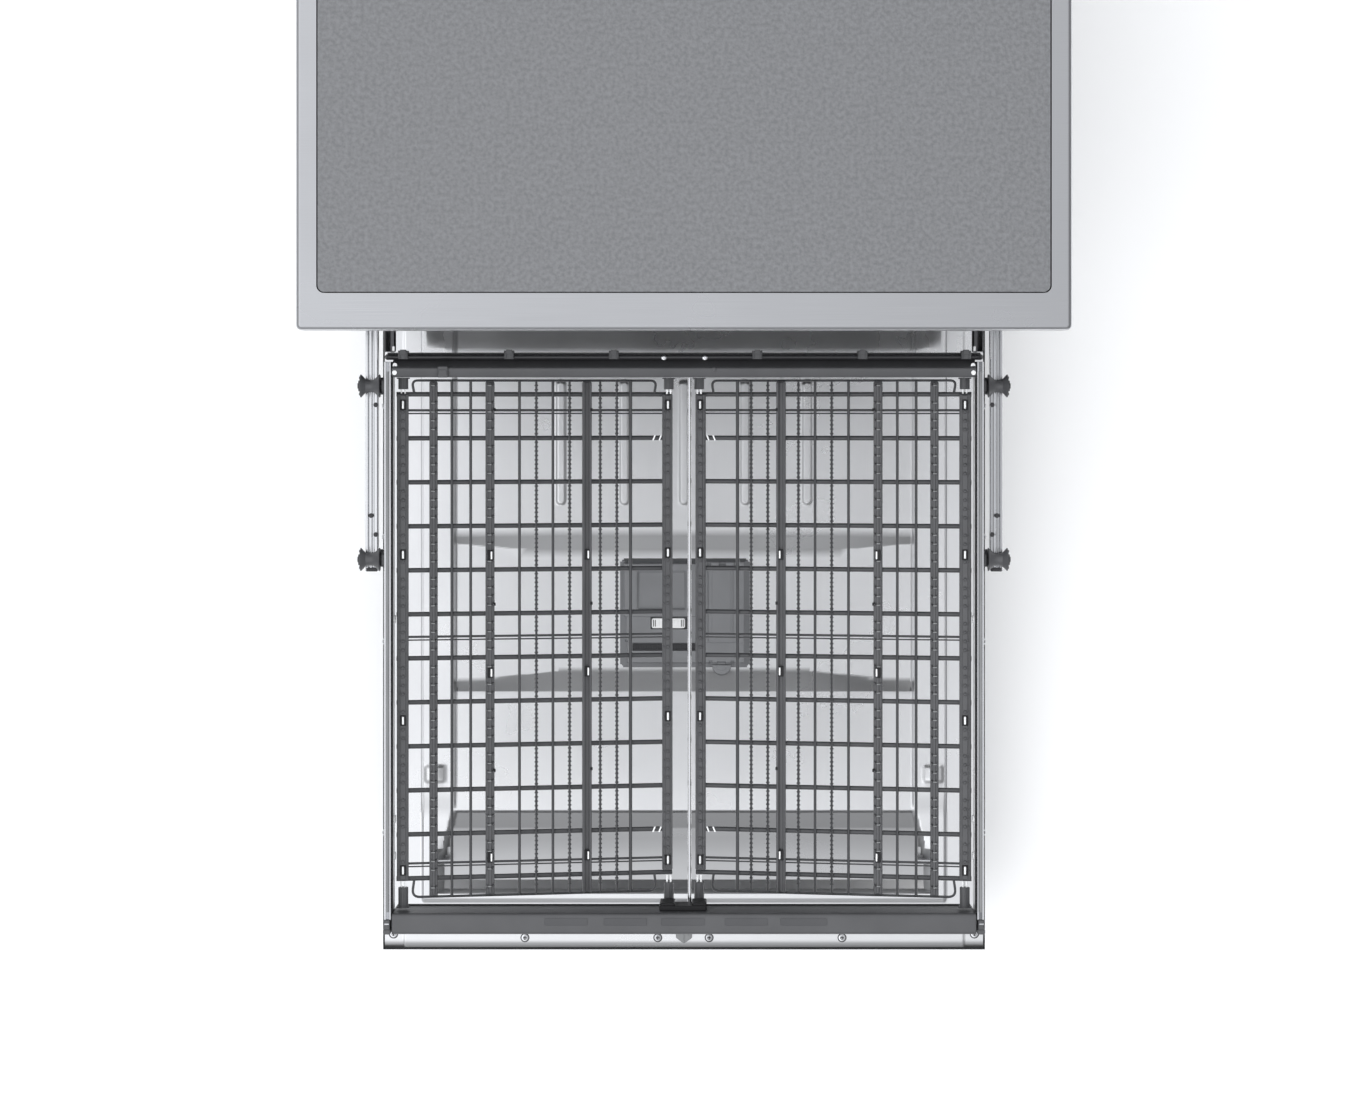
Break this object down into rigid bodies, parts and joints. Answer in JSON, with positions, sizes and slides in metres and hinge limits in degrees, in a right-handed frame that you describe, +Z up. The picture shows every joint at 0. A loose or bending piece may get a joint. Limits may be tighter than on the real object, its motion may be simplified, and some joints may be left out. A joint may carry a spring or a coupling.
{
  "type": "free-standing dishwasher",
  "caption": "Free-standing dishwasher with its door lowered flat and a split cutlery rack pulled out over it, two dish racks and spray arms inside.",
  "frame": {"origin": "on the floor, midway between the lowered door's tip and the back of the worktop, on the centre line", "axes": "+Z up, -Y towards the person at the open door, +X to the right seen from the front"},
  "size_m": [0.6, 1.2, 0.85],
  "materials": {
    "worktop_trim": "brushed, satin",
    "worktop_laminate": "fine leather-like texture, matte laminate",
    "casing_paint": "satin silver paint",
    "casing_plastic": "satin silver plastic",
    "zinc_sheet": "galvanised",
    "dark_plastic": "moulded",
    "grey_plastic": "moulded",
    "white_plastic": "moulded",
    "counterweight_iron": "rough",
    "tub_steel": "polished stainless",
    "liner_steel": "polished stainless",
    "seal_rubber": "matte",
    "rail_steel": "bright zinc",
    "hinge_steel": "dark zinc",
    "display_glass": "gloss",
    "dispenser_plastic": "moulded, fine grain",
    "rack_plastic": "moulded",
    "rack_wire": "nylon coated, satin",
    "black_wire": "satin"
  },
  "bodies": {
    "cabinet": {"worktop_frame": "worktop_trim", "worktop_inlay": "worktop_laminate", "left_side_panel": "casing_paint", "right_side_panel": "casing_paint", "back_panel": "zinc_sheet", "base_tray": "dark_plastic", "kick_plate": "casing_paint", "levelling_feet": "dark_plastic", "counterweight": "counterweight_iron", "tub": "tub_steel", "tub_gasket": "seal_rubber", "door_strike": "zinc_sheet", "cutlery_fixed_rails": "rail_steel", "upper_fixed_rails": "rail_steel", "sump_bowl": "dark_plastic", "circulation_pump": "dark_plastic", "drain_pump": "dark_plastic", "inlet_valve": "white_plastic", "softener_tank": "white_plastic", "top_arm_feed": "grey_plastic", "hinge_brackets": "zinc_sheet", "hinge_pins": "rail_steel"},
    "door": {"door_outer_panel": "casing_paint", "control_panel": "casing_plastic", "display_window": "display_glass", "door_liner": "liner_steel", "hinge_arms": "hinge_steel", "dispenser_body": "dispenser_plastic", "door_latch": "dark_plastic", "door_screws": "rail_steel"},
    "power_key": {"power_button": "casing_plastic"},
    "start_key": {"start_button": "casing_plastic"},
    "detergent_cover": {"detergent_lid": "dispenser_plastic"},
    "cover_release": {"lid_button": "white_plastic"},
    "rinse_aid_cover": {"rinse_aid_flap": "dispenser_plastic"},
    "cutlery_rack": {"cutlery_rails": "rail_steel", "cutlery_rear_bar": "rack_plastic", "cutlery_rear_rod": "black_wire", "cutlery_front_bar": "rack_plastic", "cutlery_fittings": "rack_plastic"},
    "middle_rails": {"cutlery_middle_rails": "rail_steel"},
    "rear_roller_pair": {"rear_rollers": "rack_plastic"},
    "front_roller_pair": {"front_rollers": "rack_plastic"},
    "left_tray": {"left_tray_wires": "rack_wire", "left_tray_combs": "rack_plastic"},
    "right_tray": {"right_tray_wires": "rack_wire", "right_tray_combs": "rack_plastic"},
    "upper_rack": {"upper_basket": "rack_wire", "upper_runners": "rail_steel", "upper_arm_feed": "grey_plastic"},
    "upper_arm": {"upper_spray_arm": "grey_plastic"},
    "lower_rack": {"lower_basket": "rack_wire", "wheel_carriers": "rack_plastic"},
    "tine_row": {"folding_tines": "rack_wire"},
    "front_wheel_pair": {"lower_front_wheels": "rack_plastic"},
    "rear_wheel_pair": {"lower_rear_wheels": "rack_plastic"},
    "lower_arm": {"lower_spray_arm": "grey_plastic"},
    "top_arm": {"top_spray_arm": "grey_plastic"},
    "filter": {"filter_cup": "grey_plastic"},
    "salt_lid": {"salt_cap": "grey_plastic"}
  },
  "joints": [
    {"name": "door_hinge", "type": "hinge", "parent": "cabinet", "child": "door", "pos_m": [0, 0.045, 0.169], "axis": [-1, 0, 0], "range_deg": [0, 90]},
    {"name": "cutlery_slide", "type": "slide", "parent": "cabinet", "child": "cutlery_rack", "axis": [0, 1, 0], "range_m": [0, 0.5605]},
    {"name": "middle_rail_slide", "type": "slide", "parent": "cabinet", "child": "middle_rails", "axis": [0, 1, 0], "range_m": [0, 0.2803]},
    {"name": "rear_roller_turn", "type": "hinge", "parent": "cutlery_rack", "child": "rear_roller_pair", "pos_m": [0, -0.0426, 0.7183], "axis": [1, 0, 0], "continuous": true},
    {"name": "front_roller_turn", "type": "hinge", "parent": "cutlery_rack", "child": "front_roller_pair", "pos_m": [0, -0.184, 0.7183], "axis": [1, 0, 0], "continuous": true},
    {"name": "left_tray_lift", "type": "slide", "parent": "cutlery_rack", "child": "left_tray", "axis": [0, 0, -1], "range_m": [-0.2, 0]},
    {"name": "right_tray_lift", "type": "slide", "parent": "cutlery_rack", "child": "right_tray", "axis": [0, 0, -1], "range_m": [-0.2, 0]},
    {"name": "upper_rack_slide", "type": "slide", "parent": "cabinet", "child": "upper_rack", "axis": [0, 1, 0], "range_m": [-0.4, 0]},
    {"name": "upper_arm_spin", "type": "hinge", "parent": "upper_rack", "child": "upper_arm", "pos_m": [0, 0.32, 0.455], "axis": [0, 0, 1], "continuous": true},
    {"name": "lower_rack_slide", "type": "slide", "parent": "cabinet", "child": "lower_rack", "axis": [0, 1, 0], "range_m": [-0.42, 0]},
    {"name": "tine_row_fold", "type": "hinge", "parent": "lower_rack", "child": "tine_row", "pos_m": [0.17, 0.318, 0.239], "axis": [0, -1, 0], "range_deg": [0, 75]},
    {"name": "front_wheel_turn", "type": "hinge", "parent": "lower_rack", "child": "front_wheel_pair", "pos_m": [0, 0.15, 0.1973], "axis": [1, 0, 0], "continuous": true},
    {"name": "rear_wheel_turn", "type": "hinge", "parent": "lower_rack", "child": "rear_wheel_pair", "pos_m": [0, 0.48, 0.1973], "axis": [1, 0, 0], "continuous": true},
    {"name": "lower_arm_spin", "type": "hinge", "parent": "cabinet", "child": "lower_arm", "pos_m": [0, 0.32, 0.2], "axis": [0, 0, 1], "continuous": true},
    {"name": "top_arm_spin", "type": "hinge", "parent": "cabinet", "child": "top_arm", "pos_m": [0, 0.32, 0.785], "axis": [0, 0, 1], "continuous": true},
    {"name": "filter_turn", "type": "hinge", "parent": "cabinet", "child": "filter", "pos_m": [0, 0.2, 0.17], "axis": [0, 0, 1], "range_deg": [-90, 0]},
    {"name": "salt_cap_turn", "type": "hinge", "parent": "cabinet", "child": "salt_lid", "pos_m": [-0.15, 0.19, 0.172], "axis": [0, 0, 1], "range_deg": [-180, 0]},
    {"name": "power_press", "type": "slide", "parent": "door", "child": "power_key", "axis": [0, 0, 1], "range_m": [0, 0.002], "stiffness_N_per_m": 800},
    {"name": "start_press", "type": "slide", "parent": "door", "child": "start_key", "axis": [0, 0, 1], "range_m": [0, 0.002], "stiffness_N_per_m": 800},
    {"name": "detergent_lid_slide", "type": "slide", "parent": "door", "child": "detergent_cover", "axis": [0, 1, 0], "range_m": [0, 0.05]},
    {"name": "lid_button_press", "type": "slide", "parent": "door", "child": "cover_release", "axis": [0, 0, -1], "range_m": [0, 0.0015], "stiffness_N_per_m": 800},
    {"name": "rinse_aid_flap_hinge", "type": "hinge", "parent": "door", "child": "rinse_aid_cover", "pos_m": [0.038, -0.216, 0.1806], "axis": [-1, 0, 0], "range_deg": [0, 85]}
  ],
  "couplings": [
    {"joint": "cutlery_slide", "follows": "door_hinge", "m_per_rad": 0.35651},
    {"joint": "middle_rail_slide", "follows": "door_hinge", "m_per_rad": 0.17825}
  ]
}
